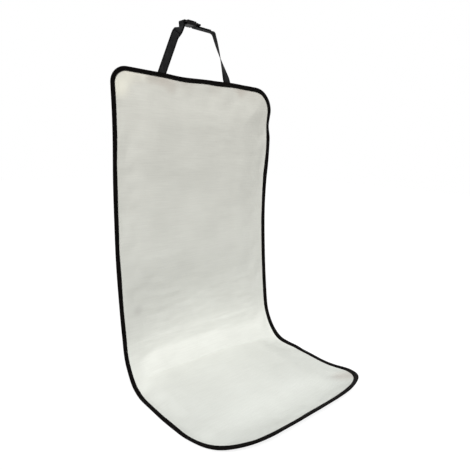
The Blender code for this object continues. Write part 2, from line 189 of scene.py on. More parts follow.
def smooth(share):
    """A share from 0 to 1, held at both ends and soft there."""
    share = min(1.0, max(0.0, share))
    return share * share * (3 - 2 * share)


def edge_move(edge, place):
    """The measured move of an edge at a place along it."""
    pairs = EDGE_MOVES[edge]
    if place <= pairs[0][0]:
        return pairs[0][1]
    for (start, first), (end, second) in zip(pairs, pairs[1:]):
        if place <= end:
            return first + (second - first) * smooth((place - start) / (end - start))
    return pairs[-1][1]


def edge_x(side, s, inset):
    """x of the left (-1) or right (+1) edge at s, with the outline moved in by inset."""
    cut_away = 0.0
    for at_top, into in ((False, s - inset), (True, PANEL_LENGTH - inset - s)):
        radius = CORNER_RADII[side, at_top] - inset
        if into < radius:
            half_chord = math.sqrt(max(0.0, radius ** 2 - (radius - into) ** 2))
            cut_away = max(cut_away, radius - half_chord)
    return side * (PANEL_WIDTH / 2 - inset - cut_away)


def side_distance(x, s):
    """How far a flat address lies inside the nearer side of the cover."""
    held_s = min(max(s, 0.0), PANEL_LENGTH)
    return abs(edge_x(1 if x > 0 else -1, held_s, 0.0)) - abs(x)


def edge_distance(x, s):
    """Roughly how far a flat address lies inside the edge of the cover."""
    return max(0.0, min(s, PANEL_LENGTH - s, side_distance(x, s)))


print("dip of the top edge", edge_move("top", -0.064))

# %% [markdown]
# ## How real cloth differs from a bent plate
# Where the seat meets the back, the cloth bridges the gap. Its middle lifts slowly off the seat,
# folds along a crisp line, climbs halfway upright, and folds again, more softly, into the back.
# The first fold is tight as far as LEFT_HOLDS_TO and grows rounder from there to the right, and
# both fade at the tape. The front right corner curls up, the top left corner falls back, and
# shallow waves and streaks run across the cloth where it was folded for its bag. They are calmest
# near the seat's end, at CALM_PLACE. All of these are heights added to h. No cloth simulation is
# run: the photograph fixes the shape closely, and measured heights follow it better.

# %% The crease
LIFT_START = 0.14
LIFT_SOFTNESS = 0.06
BAND_SLOPE = math.radians(46)
MEETING = 0.449
LEFT_ROUNDING = 0.0009
RIGHT_ROUNDING = 0.0030
BAND_ROUNDING = 0.0030
LEFT_HOLDS_TO = -0.10
ROUNDING_SPREAD = 0.32
LEFT_FADE = 0.055
RIGHT_FADE = 0.10


def lift_length(s):
    """Distance behind the place where the cloth leaves the seat, with a soft start."""
    behind = s - LIFT_START
    return (behind + math.hypot(behind, LIFT_SOFTNESS)) / 2


def line_height(place, line):
    """Height off the bent profile at which its normal crosses a straight line."""
    (y, z, slope), (line_y, line_z, line_slope) = place, line
    ahead = (y - line_y) * math.sin(line_slope) - (z - line_z) * math.cos(line_slope)
    return ahead / math.cos(slope - line_slope)


def rounded_max(first, second, rounding):
    """The larger of two heights, rounded off where they cross."""
    return (first + second + math.hypot(first - second, rounding)) / 2


def crease_height(x, s):
    """Height of the lifted and creased cloth off the bent profile."""
    if s > MEETING:
        return 0.0
    depth, rise = edge_move("crease depth", x), edge_move("crease rise", x)
    lift = rise / (lift_length(CREASE_START) + depth)
    height = lift * lift_length(s)
    if s > CREASE_START:
        start_y, start_z, _ = walk_profile(CREASE_START)
        seat = (start_y + depth, start_z + rise, math.atan(lift))
        band = (start_y + depth, start_z + rise, BAND_SLOPE)
        place = walk_profile(s)
        to_right = smooth((x - LEFT_HOLDS_TO) / ROUNDING_SPREAD)
        rounding = LEFT_ROUNDING + (RIGHT_ROUNDING - LEFT_ROUNDING) * to_right
        height = rounded_max(line_height(place, seat), line_height(place, band), rounding)
        height = rounded_max(height, line_height(place, walk_profile(MEETING)), BAND_ROUNDING)
    fade = RIGHT_FADE if x > 0 else LEFT_FADE
    return height * smooth((PANEL_WIDTH / 2 - abs(x) - TAPE_DEPTH / 2) / fade)


heights = [round(1000 * crease_height(0.0, s / 1000), 1) for s in range(180, 460, 20)]
print("crease at", heights, "mm off the plate")

# %% Corner curls, waves and streaks
CURL_REACH = 0.180
CORNER_CURLS = {(-1, False): 0.002, (1, False): 0.008, (-1, True): -0.005, (1, True): 0.001}
TURN_REACH = 0.026
MIDDLE_REACH = 0.12
MIDDLE_SPREAD = 0.30
SETTLE_REACH = 0.06
SLACK_REACH = 0.08
CALM_PLACE = 0.35
CALM_REACH = 0.05
CALM_LEVEL = 0.3
WAVES = (6, 8, 3.7)
WAVE_SIZE = 0.0022
STREAKS = (11, 46, 8.1)
STREAK_SLANT = 5
STREAK_SIZE = 0.0009
STREAK_CALM = 0.30
STREAK_PLACE = 0.50
STREAK_REACH = 0.20
FINER = 2.1
PUCKERS = (34, 34, 2.4)
PUCKER_SIZE = 0.0011
PUCKER_REACH = 0.022
SEAT_SOFTNESS = 0.0004


def ripple_place(x, s, pattern, slant=0):
    """Where noise is read for a flat address. A pattern is its two scales and its seed."""
    across, along, seed = pattern
    return Vector((x * across - s * slant, s * along, seed))


def streak_height(x, s):
    """Short shallow ridges that run across the cloth, strongest above the bend."""
    place = ripple_place(x, s, STREAKS, STREAK_SLANT)
    height = noise.noise(place) + 0.5 * noise.noise(place * FINER)
    strength = STREAK_CALM + smooth(1 - abs(s - STREAK_PLACE) / STREAK_REACH)
    return STREAK_SIZE * height * strength


def above_seat(height):
    """Keeps the cloth on or above the seat, with a soft start to each wave."""
    lift = height + SETTLE_DEPTH
    return (lift + math.hypot(lift, SEAT_SOFTNESS)) / 2 - SETTLE_DEPTH


def pucker_height(x, s, inside):
    """Small waves that the seam pulls into the cloth just inside the tape."""
    along = noise.noise(ripple_place(x, s, PUCKERS))
    bulge = max(0.0, (inside - TAPE_DEPTH) / PUCKER_REACH)
    return PUCKER_SIZE * along * bulge * math.exp(1 - bulge)


def relief(x, s):
    """Height of the real cloth off the bent plate at a flat address."""
    inside = edge_distance(x, s)
    height = crease_height(x, s) - SETTLE_DEPTH * smooth((inside - TAPE_DEPTH) / SETTLE_REACH)
    for (side, at_top), curl in CORNER_CURLS.items():
        reach = math.hypot(x - side * PANEL_WIDTH / 2, s - PANEL_LENGTH * at_top)
        height += curl * smooth(1 - reach / CURL_REACH)
    to_right = smooth((x - LEFT_HOLDS_TO) / MIDDLE_SPREAD)
    middle = edge_move("middle left", s) * (1 - to_right) + edge_move("middle right", s) * to_right
    height += middle * smooth(inside / MIDDLE_REACH)
    calm = smooth(abs(s - CALM_PLACE) / CALM_REACH + CALM_LEVEL)
    slack = smooth(inside / SLACK_REACH) * calm
    height += WAVE_SIZE * slack * noise.noise(ripple_place(x, s, WAVES))
    height += pucker_height(x, s, inside) + slack * streak_height(x, s)
    turn = edge_move("right turn" if x > 0 else "left turn", s)
    height += turn * max(0.0, 1 - side_distance(x, s) / TURN_REACH) ** 2
    return above_seat(height) if s < CREASE_START else height


def drape(x, s, h):
    """Carries a flat address to its place on the real cover."""
    share = x / PANEL_WIDTH + 0.5
    move_x = edge_move("left", s) * (1 - share) + edge_move("right", s) * share
    move_s = edge_move("top", x) * smooth(1 - (PANEL_LENGTH - s) / TOP_REACH)
    move_s += edge_move("front", x) * smooth(1 - s / TOP_REACH)
    return bend(x + move_x, s + move_s, h + relief(x, s))


print("relief at the smooth middle of the back", round(relief(0.0, 0.8) * 1000, 2), "mm")

# %% [markdown]
# ## Turning rows of points into pieces
# The tape and the webbing are long strips with a constant section. A helper joins rows of points
# into a skin and lays a UV map over it in real metres, so that a weave keeps its true scale round
# every bend. A second helper finishes a piece: it is shaded smooth, hangs from the root body, and
# stands for the solid that it dresses.

# %% Helpers for strips and pieces
def skin(name, rows, closed, around):
    """A mesh through rows of points. Its UV map runs across (around) and along, in metres."""
    mesh = bpy.data.meshes.new(name)
    bm = bmesh.new()
    uv_layer = bm.loops.layers.uv.new("metres")
    rings = [[bm.verts.new(point) for point in row] for row in rows]
    middle = len(rows[0]) // 4
    distances = [0.0]
    for before, after in zip(rows, rows[1:] + rows[:1]):
        distances.append(distances[-1] + (after[middle] - before[middle]).length)
    count = len(rows[0])
    for number in range(len(rings) if closed else len(rings) - 1):
        first, second = rings[number], rings[(number + 1) % len(rings)]
        for k in range(count):
            beside = (k + 1) % count
            face = bm.faces.new((first[k], first[beside], second[beside], second[k]))
            places = ((k, 0), (k + 1, 0), (k + 1, 1), (k, 1))
            for loop, (column, step) in zip(face.loops, places):
                loop[uv_layer].uv = (around[column], distances[number + step])
    if not closed:
        bm.faces.new(rings[0])
        bm.faces.new(rings[-1])
    bmesh.ops.recalc_face_normals(bm, faces=bm.faces)
    bm.to_mesh(mesh)
    bm.free()
    return mesh


def dress(name, data, material, slot, *solids):
    """Puts a finished piece in the scene, in place of the solids that it dresses."""
    piece = add_object(name, data)
    data.materials.append(material)
    if piece.type == "MESH":
        data.polygons.foreach_set("use_smooth", [True] * len(data.polygons))
    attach(piece, "root")
    if solids:
        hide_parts(*solids)
    print(name, "dresses", solids or "nothing on its own")
    return piece


# %% [markdown]
# ## Shader effects that several finishes share
# Cloth, tape, webbing and thread are all woven or spun, and none is one even colour. Three node
# groups give them this: a plain weave, a ribbed weave, and an uneven dye. Each is built once and
# takes its scale and strength from the material that it sits in.

# %% Helpers for node groups
def new_group(name, inputs, outputs):
    """A shader node group with named sockets: the group, what it is given and what it puts out."""
    group = bpy.data.node_groups.new(name, "ShaderNodeTree")
    for in_out, sockets in (("INPUT", inputs), ("OUTPUT", outputs)):
        for label, kind, *value in sockets:
            socket = group.interface.new_socket(
                name=label, in_out=in_out, socket_type=f"NodeSocket{kind}")
            if value:
                socket.default_value = value[0]
    start, end = (group.nodes.new(f"NodeGroup{side}") for side in ("Input", "Output"))
    return group, start.outputs, end.inputs


def fill(tree, sockets, values):
    """Sets each socket to its value, or links it where the value is the output of a node."""
    for socket, value in zip(sockets, values):
        if isinstance(value, bpy.types.NodeSocket):
            tree.links.new(value, socket)
        else:
            socket.default_value = value


def fill_named(tree, node, **values):
    """Fills the inputs of a node by their names."""
    fill(tree, [node.inputs[label.replace("_", " ")] for label in values], values.values())


def add_node(tree, kind, *values, **named):
    """A shader node with its inputs filled, first in order and then by name."""
    node = tree.nodes.new(f"ShaderNode{kind}")
    fill(tree, node.inputs, values)
    fill_named(tree, node, **named)
    return node


def calculate(tree, operation, *values):
    """A Math node. Each value is a number or the output of another node."""
    node = tree.nodes.new("ShaderNodeMath")
    node.operation = operation
    fill(tree, node.inputs, values)
    return node.outputs[0]


def humps(tree, value):
    """A row of rounded humps, one for each whole step of the value."""
    turn = calculate(tree, "MULTIPLY", calculate(tree, "FRACT", value), math.pi)
    return calculate(tree, "SINE", turn)


def blend_colours(tree, factor, first, second, how="MIX"):
    """A Mix node for colours. Its parts are values or the outputs of other nodes."""
    node = tree.nodes.new("ShaderNodeMix")
    node.data_type = "RGBA"
    node.blend_type = how
    fill(tree, (node.inputs[0], node.inputs[6], node.inputs[7]), (factor, first, second))
    return node.outputs[2]


# %% The plain weave
def make_plain_weave():
    """The height of threads that go over and under each other."""
    group, given, result = new_group(
        "plain weave",
        [("Vector", "Vector"), ("Across Pitch", "Float", 0.0006), ("Along Pitch", "Float", 0.0005)],
        [("Height", "Float")])
    split = add_node(group, "SeparateXYZ", given["Vector"])
    u = calculate(group, "DIVIDE", split.outputs["X"], given["Across Pitch"])
    v = calculate(group, "DIVIDE", split.outputs["Y"], given["Along Pitch"])
    number = calculate(group, "ADD", calculate(group, "FLOOR", u), calculate(group, "FLOOR", v))
    parity = calculate(group, "MODULO", calculate(group, "ABSOLUTE", number), 2.0)
    other = calculate(group, "SUBTRACT", 1.0, parity)
    across = calculate(group, "MULTIPLY", parity, humps(group, v))
    along = calculate(group, "MULTIPLY", other, humps(group, u))
    group.links.new(calculate(group, "ADD", across, along), result["Height"])
    return group


PLAIN_WEAVE = make_plain_weave()
print("plain weave:", len(PLAIN_WEAVE.nodes), "nodes")


# %% The ribbed weave
RIB_SHARE = 0.7
GROOVE_SHARPNESS = 3.0


def make_ribbed_weave():
    """Ribs across a tape. With a zigzag they run as the herringbone of webbing."""
    group, given, result = new_group(
        "ribbed weave",
        [("Vector", "Vector"), ("Rib Pitch", "Float", 0.001), ("Zigzag Width", "Float", 0.005),
         ("Zigzag Height", "Float", 0.0), ("Thread Pitch", "Float", 0.0005)],
        [("Height", "Float"), ("Groove", "Float")])
    split = add_node(group, "SeparateXYZ", given["Vector"])
    zigzag = calculate(group, "PINGPONG", split.outputs["X"], given["Zigzag Width"])
    share = calculate(group, "DIVIDE", zigzag, given["Zigzag Width"])
    shift = calculate(group, "MULTIPLY", share, given["Zigzag Height"])
    shifted = calculate(group, "ADD", split.outputs["Y"], shift)
    rib = humps(group, calculate(group, "DIVIDE", shifted, given["Rib Pitch"]))
    thread = humps(group, calculate(group, "DIVIDE", split.outputs["X"], given["Thread Pitch"]))
    height = calculate(group, "ADD", calculate(group, "MULTIPLY", rib, RIB_SHARE),
                       calculate(group, "MULTIPLY", thread, 1 - RIB_SHARE))
    gap = calculate(group, "SUBTRACT", 1.0, rib)
    group.links.new(height, result["Height"])
    group.links.new(calculate(group, "POWER", gap, GROOVE_SHARPNESS), result["Groove"])
    return group


RIBBED_WEAVE = make_ribbed_weave()
print("ribbed weave:", len(RIBBED_WEAVE.nodes), "nodes")


# %% The uneven dye
NOISE_LOW = 0.33
NOISE_HIGH = 0.67


def stretch_noise(tree, pattern):
    """Noise stays near its middle. This spreads it over the whole range from 0 to 1."""
    return add_node(tree, "MapRange", pattern.outputs[0], From_Min=NOISE_LOW,
                    From_Max=NOISE_HIGH).outputs[0]


def make_uneven_dye():
    """A colour that drifts softly over the surface and is streaked along one direction."""
    group, given, result = new_group(
        "uneven dye",
        [("Vector", "Vector"), ("Colour", "Color", (0.5, 0.5, 0.5, 1.0)),
         ("Second Colour", "Color", (0.4, 0.4, 0.4, 1.0)), ("Patch Scale", "Float", 9.0),
         ("Patch Strength", "Float", 0.5), ("Streak Stretch", "Vector", (25.0, 500.0, 1.0)),
         ("Streak Strength", "Float", 0.3)],
        [("Colour", "Color"), ("Streaks", "Float")])
    patches = add_node(group, "TexNoise", given["Vector"], Scale=given["Patch Scale"], Detail=3.0)
    stretched = add_node(group, "VectorMath", given["Vector"], given["Streak Stretch"])
    stretched.operation = "MULTIPLY"
    streaks = add_node(group, "TexNoise", stretched.outputs[0], Scale=1.0, Detail=4.0)
    shares = [calculate(group, "MULTIPLY", stretch_noise(group, pattern), given[strength])
              for pattern, strength in ((patches, "Patch Strength"), (streaks, "Streak Strength"))]
    colour = blend_colours(group, calculate(group, "ADD", *shares), given["Colour"],
                           given["Second Colour"])
    group.links.new(colour, result["Colour"])
    group.links.new(streaks.outputs[0], result["Streaks"])
    return group


UNEVEN_DYE = make_uneven_dye()
print("uneven dye:", len(UNEVEN_DYE.nodes), "nodes")


# %% Helpers for materials
def new_material(name, roughness, specular, sheen=0.0):
    """A material with its Principled shader, ready for nodes."""
    material = bpy.data.materials.new(name)
    material.use_nodes = True
    tree = material.node_tree
    shader = tree.nodes["Principled BSDF"]
    fill_named(tree, shader, Roughness=roughness, Specular_IOR_Level=specular,
               Sheen_Weight=sheen, Sheen_Roughness=0.5)
    return material, tree, shader


def place_group(tree, group, vector, **values):
    """One of the shared effects in a material, fed with the vector and its own values."""
    node = tree.nodes.new("ShaderNodeGroup")
    node.node_tree = group
    fill_named(tree, node, Vector=vector, **values)
    return node


def add_bump(tree, shader, height, distance):
    """Shades the surface as if it rose with the height, by up to the distance."""
    bump = add_node(tree, "Bump", Distance=distance, Height=height)
    tree.links.new(bump.outputs[0], shader.inputs["Normal"])


def metres(tree):
    """The UV map of a piece, which is in metres."""
    node = tree.nodes.new("ShaderNodeUVMap")
    node.uv_map = "metres"
    return node.outputs[0]


def object_place(tree):
    """The place on a piece in metres, for pieces that have no UV map."""
    return tree.nodes.new("ShaderNodeTexCoord").outputs["Object"]


# %% [markdown]
# ## The coated cloth
# The panel is a tight plain-woven polyester with a matt coating, pale grey with a touch of green.
# Seen from a metre it is almost even, with faint streaks across it where some threads are thicker.
# The weave goes into the bump, and the streaks into both the colour and the roughness. The coating
# is a little warmer at the top. On the seat, in the crease and low on the back its colour is a
# little greyer, as painted shade. Small marks are painted on it too: a cream painted highlight in
# the top left corner, brownish painted shade under the top tape, a darker, warmer patch on the
# front right corner with grey painted shade beside it, and grey painted shade low on the left of
# the back.

# %% The cloth's finish
CLOTH_COOL = (0.728, 0.750, 0.712, 1.0)
CLOTH_WARM = (0.775, 0.768, 0.700, 1.0)
SHADE_COOL = (0.672, 0.690, 0.652, 1.0)
SHADE_WARM = (0.692, 0.684, 0.622, 1.0)
# Painted shade along the cover: how light the colour stays at each share of the way up.
PAINTED_SHADE_UP_THE_COVER = ((0.07, 1.0), (0.72, 1.0), (0.17, 0.93), (0.31, 0.925), (0.335, 0.94),
                     (0.375, 0.955), (0.405, 0.945), (0.445, 0.905), (0.53, 0.90))
# Painted shade under the top tape: brownish, in patches.
BROWN_SHADE_COLOUR = (0.50, 0.43, 0.37, 1.0)
UNDER_TAPE_SHADE_REACH = 0.055
UNDER_TAPE_SHADE_STRENGTH = 0.40
UNDER_TAPE_SHADE_PATCH_SCALE = 15.0
# A painted highlight, in cream, for the top left corner.
CREAM_HIGHLIGHT = (0.93, 0.91, 0.79, 1.0)
# Painted shade in grey, low on the left of the back and beside the front right corner.
GREY_SHADE = (0.46, 0.45, 0.43, 1.0)
# A darker, warmer patch for the front right corner.
TIP_PATCH = (0.57, 0.52, 0.48, 1.0)
MARK_CORE = 0.15
# Round marks of painted highlight and painted shade, and the darker patch on the front right
# corner.
PAINTED_MARKS = (
    ((-0.231, 1.066), 0.038, CREAM_HIGHLIGHT, 0.85), ((-0.205, 1.094), 0.032, CREAM_HIGHLIGHT, 0.70),
    ((-0.172, 1.099), 0.026, CREAM_HIGHLIGHT, 0.50), ((-0.150, 1.092), 0.022, BROWN_SHADE_COLOUR, 0.30),
    ((-0.125, 1.094), 0.026, BROWN_SHADE_COLOUR, 0.38), ((-0.098, 1.084), 0.028, BROWN_SHADE_COLOUR, 0.32),
    ((0.130, 1.090), 0.024, BROWN_SHADE_COLOUR, 0.30), ((-0.200, 0.530), 0.019, GREY_SHADE, 0.32),
    ((0.205, 0.060), 0.045, TIP_PATCH, 0.55), ((0.190, 0.090), 0.040, GREY_SHADE, 0.16),
)
LEAST_ROUGH = 0.66
STREAK_ROUGH = 0.14
WEAVE_SHARE = 0.5
CLOTH_BUMP = 0.00012


def add_mark(tree, vector, colour, mark):
    """A soft round mark on the cloth: its flat place, reach, colour and strength.
    Most are painted highlight and painted shade.
    """
    (x, s), reach, mark_colour, strength = mark
    distance = add_node(tree, "VectorMath", vector, (x, s, 0.0))
    distance.operation = "DISTANCE"
    mask = add_node(tree, "MapRange", distance.outputs["Value"], From_Min=reach,
                    From_Max=reach * MARK_CORE, To_Max=strength)
    mask.interpolation_type = "SMOOTHSTEP"
    return blend_colours(tree, mask.outputs[0], colour, mark_colour)


def add_painted_shade(tree, up_the_cover, colour):
    """Darkens the colour a little by a ramp along the cover: painted shade on the seat, in the
    crease and low on the back.
    """
    tone = add_node(tree, "ValToRGB", up_the_cover)
    stops = tone.color_ramp.elements
    tone.color_ramp.interpolation = "EASE"
    for number, (place, level) in enumerate(PAINTED_SHADE_UP_THE_COVER):
        stop = stops[number] if number < 2 else stops.new(place)
        stop.position = place
        stop.color = (level, level, level, 1.0)
    return blend_colours(tree, 1.0, colour, tone.outputs[0], "MULTIPLY")


def add_under_tape_shade(tree, vector, up, colour):
    """Faint brownish patches of painted shade just under the top tape."""
    near_top = add_node(tree, "MapRange", up, From_Min=PANEL_LENGTH - UNDER_TAPE_SHADE_REACH,
                        From_Max=PANEL_LENGTH - TAPE_DEPTH)
    patches = add_node(tree, "TexNoise", vector, Scale=UNDER_TAPE_SHADE_PATCH_SCALE)
    patchy = calculate(tree, "MULTIPLY", stretch_noise(tree, patches), UNDER_TAPE_SHADE_STRENGTH)
    shade_share = calculate(tree, "MULTIPLY", calculate(tree, "POWER", near_top.outputs[0], 2.0), patchy)
    return blend_colours(tree, shade_share, colour, BROWN_SHADE_COLOUR)


def make_cloth_finish():
    material, tree, shader = new_material("coated cloth", roughness=0.72, specular=0.15, sheen=0.03)
    vector = metres(tree)
    weave = place_group(tree, PLAIN_WEAVE, vector, Across_Pitch=0.00062, Along_Pitch=0.00055)
    up = add_node(tree, "SeparateXYZ", vector).outputs["Y"]
    up_the_cover = calculate(tree, "DIVIDE", up, PANEL_LENGTH)
    dye = place_group(tree, UNEVEN_DYE, vector, Patch_Scale=11.0, Patch_Strength=0.55,
                      Streak_Stretch=(20.0, 330.0, 1.0), Streak_Strength=0.45,
                      Colour=blend_colours(tree, up_the_cover, CLOTH_COOL, CLOTH_WARM),
                      Second_Colour=blend_colours(tree, up_the_cover, SHADE_COOL, SHADE_WARM))
    streaks = dye.outputs["Streaks"]
    # Painted shade along the cover.
    colour = add_painted_shade(tree, up_the_cover, dye.outputs["Colour"])
    # Painted shade under the top tape.
    colour = add_under_tape_shade(tree, vector, up, colour)
    # Painted highlight and painted shade in round marks.
    for mark in PAINTED_MARKS:
        colour = add_mark(tree, vector, colour, mark)
    rough = calculate(tree, "MULTIPLY_ADD", streaks, STREAK_ROUGH, LEAST_ROUGH)
    fill_named(tree, shader, Base_Color=colour, Roughness=rough)
    height = calculate(tree, "MULTIPLY_ADD", weave.outputs["Height"], WEAVE_SHARE, streaks)
    add_bump(tree, shader, height, CLOTH_BUMP)
    return material


CLOTH = make_cloth_finish()
print("cloth finish made")

# %% [markdown]
# ## The cloth panel
# The panel is a grid in flat addresses, as wide at each row as the outline is there, carried to
# its place by drape. Rows lie closer in the crease. Solidify gives it its real 1.2 mm.

# %% Make the cloth panel
ROW_STEP = 0.005
CREASE_STEP = 0.0014
EDGE_STEP = 0.0006
STEP_GROWTH = 0.16
LEAST_STEP = 0.0004
COLUMNS = 100


def cloth_rows():
    """Places along the panel: close together in the crease and near the front and top edges."""
    last = PANEL_LENGTH - CLOTH_INSET
    rows = [CLOTH_INSET]
    while rows[-1] < last:
        near_end = min(rows[-1] - CLOTH_INSET, last - rows[-1])
        in_crease = CREASE_START - ROW_STEP < rows[-1] < MEETING + ROW_STEP
        step = CREASE_STEP if in_crease else min(ROW_STEP, EDGE_STEP + STEP_GROWTH * near_end)
        rows.append(min(last, rows[-1] + step))
    if rows[-1] - rows[-2] < LEAST_STEP:
        del rows[-2]
    return rows


def make_cloth():
    rows = cloth_rows()
    mesh = bpy.data.meshes.new("cover_cloth")
    bm = bmesh.new()
    bmesh.ops.create_grid(bm, x_segments=COLUMNS, y_segments=len(rows) - 1, size=1.0)
    uv_layer = bm.loops.layers.uv.new("metres")
    address = {}
    for vertex in bm.verts:
        s = rows[round((vertex.co.y + 1) / 2 * (len(rows) - 1))]
        left, right = (edge_x(side, s, CLOTH_INSET) for side in (-1, 1))
        address[vertex] = (left + (right - left) * (vertex.co.x + 1) / 2, s)
    for face in bm.faces:
        for loop in face.loops:
            loop[uv_layer].uv = address[loop.vert]
    for vertex, (x, s) in address.items():
        vertex.co = drape(x, s, 0.0)
    bm.to_mesh(mesh)
    bm.free()
    cloth = dress("cover_cloth", mesh, CLOTH, "coated_cloth", "cover_panel")
    body = cloth.modifiers.new("thickness", "SOLIDIFY")
    body.thickness = CLOTH_THICKNESS
    body.offset = 0.0
    return cloth


cloth = make_cloth()
print("cloth panel:", len(cloth.data.polygons), "faces")

# %% [markdown]
# ## The black tape
# The raw edge of the cloth is covered with a woven polyester tape, 12 mm deep on each face. A
# machine folds it over the edge as it is sewn. Its section is a deep C, so that section is swept
# once round the flat outline and then draped with the cloth. Its inner edges wander a little, as
# they do when cloth goes through the folder by hand.

# %% Walk round the outline
SIDE_STEP = 0.006
CORNER_STEP = math.radians(4)


def outline():
    """Points round the cover, each with its direction into the cover and its walk so far."""
    half = PANEL_WIDTH / 2
    corners = (((-1, False), 180), ((1, False), 270), ((1, True), 0), ((-1, True), 90))
    points = []
    for (side, at_top), start in corners:
        radius = CORNER_RADII[side, at_top]
        centre = Vector((side * (half - radius), PANEL_LENGTH - radius if at_top else radius))
        steps = math.ceil(math.pi / 2 / CORNER_STEP)
        for step in range(steps + 1):
            angle = math.radians(start) + math.pi / 2 * step / steps
            outward = Vector((math.cos(angle), math.sin(angle)))
            points.append((centre + outward * radius, -outward))
    full = []
    for (point, inward), (next_point, next_inward) in zip(points, points[1:] + points[:1]):
        steps = max(1, round((next_point - point).length / SIDE_STEP))
        for step in range(steps):
            share = step / steps
            turned = inward.lerp(next_inward, share).normalized()
            full.append((point.lerp(next_point, share), turned))
    walk, placed = 0.0, []
    for number, (point, inward) in enumerate(full):
        if number:
            walk += (point - full[number - 1][0]).length
        placed.append((point, inward, walk))
    return placed


OUTLINE = outline()
print("outline:", len(OUTLINE), "points,", round(OUTLINE[-1][2], 3), "m round")

# %% The tape's finish
TAPE_COLOUR = (0.0012, 0.0011, 0.0011, 1.0)
TAPE_WORN = (0.0064, 0.0050, 0.0046, 1.0)
# Painted shade in the grooves of the tape's weave.
TAPE_GROOVE_SHADE = (0.0, 0.0, 0.0, 1.0)
TAPE_BUMP = 0.0002


def shade_grooves(tree, shader, ribs, colour, groove, strength, light=1.0):
    """Colours a ribbed weave, with painted shade in its grooves."""
    depth = calculate(tree, "MULTIPLY", ribs.outputs["Groove"], strength)
    shade = calculate(tree, "SUBTRACT", light, depth)
    fill_named(tree, shader, Base_Color=blend_colours(tree, shade, groove, colour))


def make_tape_finish():
    material, tree, shader = new_material("binding tape", roughness=0.60, specular=0.02)
    vector = metres(tree)
    ribs = place_group(tree, RIBBED_WEAVE, vector, Rib_Pitch=0.0011, Thread_Pitch=0.0007)
    dye = place_group(tree, UNEVEN_DYE, vector, Colour=TAPE_COLOUR, Second_Colour=TAPE_WORN,
                      Patch_Scale=26.0, Patch_Strength=0.6, Streak_Stretch=(700.0, 60.0, 1.0),
                      Streak_Strength=0.3)
    shade_grooves(tree, shader, ribs, dye.outputs["Colour"], TAPE_GROOVE_SHADE, strength=0.5)
    add_bump(tree, shader, ribs.outputs["Height"], TAPE_BUMP)
    return material


TAPE = make_tape_finish()
print("tape finish made")

# %% Make the tape
TAPE_SEEN = TAPE_DEPTH - 0.0004
TAPE_SHIFT = 0.0013
TAPE_WANDER = 0.0012
TAPE_WAVES = 14
NOSE_STEPS = 6
SOFT_EDGE = 0.35
MIDDLE_SHARE = 0.6


def tape_section(walk, x):
    """The folded tape as (inset, height) points, once round: outer skin, then inner skin."""
    shift = TAPE_SHIFT * x / (PANEL_WIDTH / 2)
    upper, lower = (TAPE_SEEN + side * shift
                    + TAPE_WANDER * noise.noise(Vector((walk * TAPE_WAVES, seed, 0.0)))
                    for side, seed in ((1, 2.2), (-1, 7.7)))
    soft = TAPE_THICKNESS * SOFT_EDGE
    angles = [math.pi * k / NOSE_STEPS for k in range(NOSE_STEPS + 1)]
    nose = [(HALF_TAPE * (1 - math.sin(angle)), HALF_TAPE * math.cos(angle)) for angle in angles]
    upper_middle, lower_middle = upper * MIDDLE_SHARE, lower * MIDDLE_SHARE
    outer = [(upper, HALF_TAPE - soft), (upper - soft, HALF_TAPE), (upper_middle, HALF_TAPE), *nose,
             (lower_middle, -HALF_TAPE), (lower - soft, -HALF_TAPE), (lower, -HALF_TAPE + soft)]
    inner = [(lower, -HALF_SLOT), (lower_middle, -HALF_SLOT), (HALF_TAPE, -HALF_SLOT),
             (TAPE_THICKNESS, 0.0), (HALF_TAPE, HALF_SLOT), (upper_middle, HALF_SLOT),
             (upper, HALF_SLOT)]
    return outer + inner


def make_tape():
    rows = [[drape(*(point + inward * inset), height)
             for inset, height in tape_section(walk, point.x)] for point, inward, walk in OUTLINE]
    section = tape_section(0.0, 0.0)
    around = [0.0]
    for before, after in zip(section, section[1:] + section[:1]):
        around.append(around[-1] + math.dist(before, after))
    mesh = skin("edge_tape", rows, True, around)
    return dress("edge_tape", mesh, TAPE, "binding_tape", "edge_binding")


tape = make_tape()
print("tape:", len(tape.data.polygons), "faces")

# %% [markdown]
# ## The stitching of the tape
# One row of black lockstitch holds the tape near its inner edge. On each face it shows as short
# rounded stitches that dip into the tape where the needle went through. They are bevelled curves,
# with four points for each stitch.

# %% The thread's finish
THREAD_BUMP = 0.0001


def make_thread_finish():
    material, tree, shader = new_material("black thread", roughness=0.5, specular=0.05)
    dye = place_group(tree, UNEVEN_DYE, object_place(tree), Colour=(0.006, 0.0058, 0.0055, 1.0),
                      Second_Colour=(0.020, 0.018, 0.017, 1.0), Patch_Scale=60.0,
                      Patch_Strength=0.5, Streak_Stretch=(900.0, 900.0, 900.0),
                      Streak_Strength=0.5)
    fill_named(tree, shader, Base_Color=dye.outputs["Colour"])
    add_bump(tree, shader, dye.outputs["Streaks"], THREAD_BUMP)
    return material


THREAD = make_thread_finish()
THREAD_RADIUS = 0.00028
THREAD_REST = THREAD_RADIUS * 0.8
STITCH_SHOULDER = 0.22


def new_thread(name):
    """An empty curve that is bevelled to the thread's thickness."""
    thread = bpy.data.curves.new(name, "CURVE")
    thread.dimensions = "3D"
    thread.bevel_depth = THREAD_RADIUS
    thread.bevel_resolution = 1
    thread.use_fill_caps = True
    return thread


def add_stitch(thread, start, end, lift):
    """One stitch: it leaves the surface at start, lies on it, and dips back at end."""
    stitch = thread.splines.new("POLY")
    stitch.points.add(3)
    sunk = lift * -0.5
    places = (start + sunk, start.lerp(end, STITCH_SHOULDER) + lift,
              start.lerp(end, 1 - STITCH_SHOULDER) + lift, end + sunk)
    for point, place in zip(stitch.points, places):
        point.co = (*place, 1.0)


print("thread finish made")

# %% Sew the tape
STITCH_PITCH = 0.0031
STITCH_GAP = 0.0005
STITCH_INSET = TAPE_SEEN - 0.0030


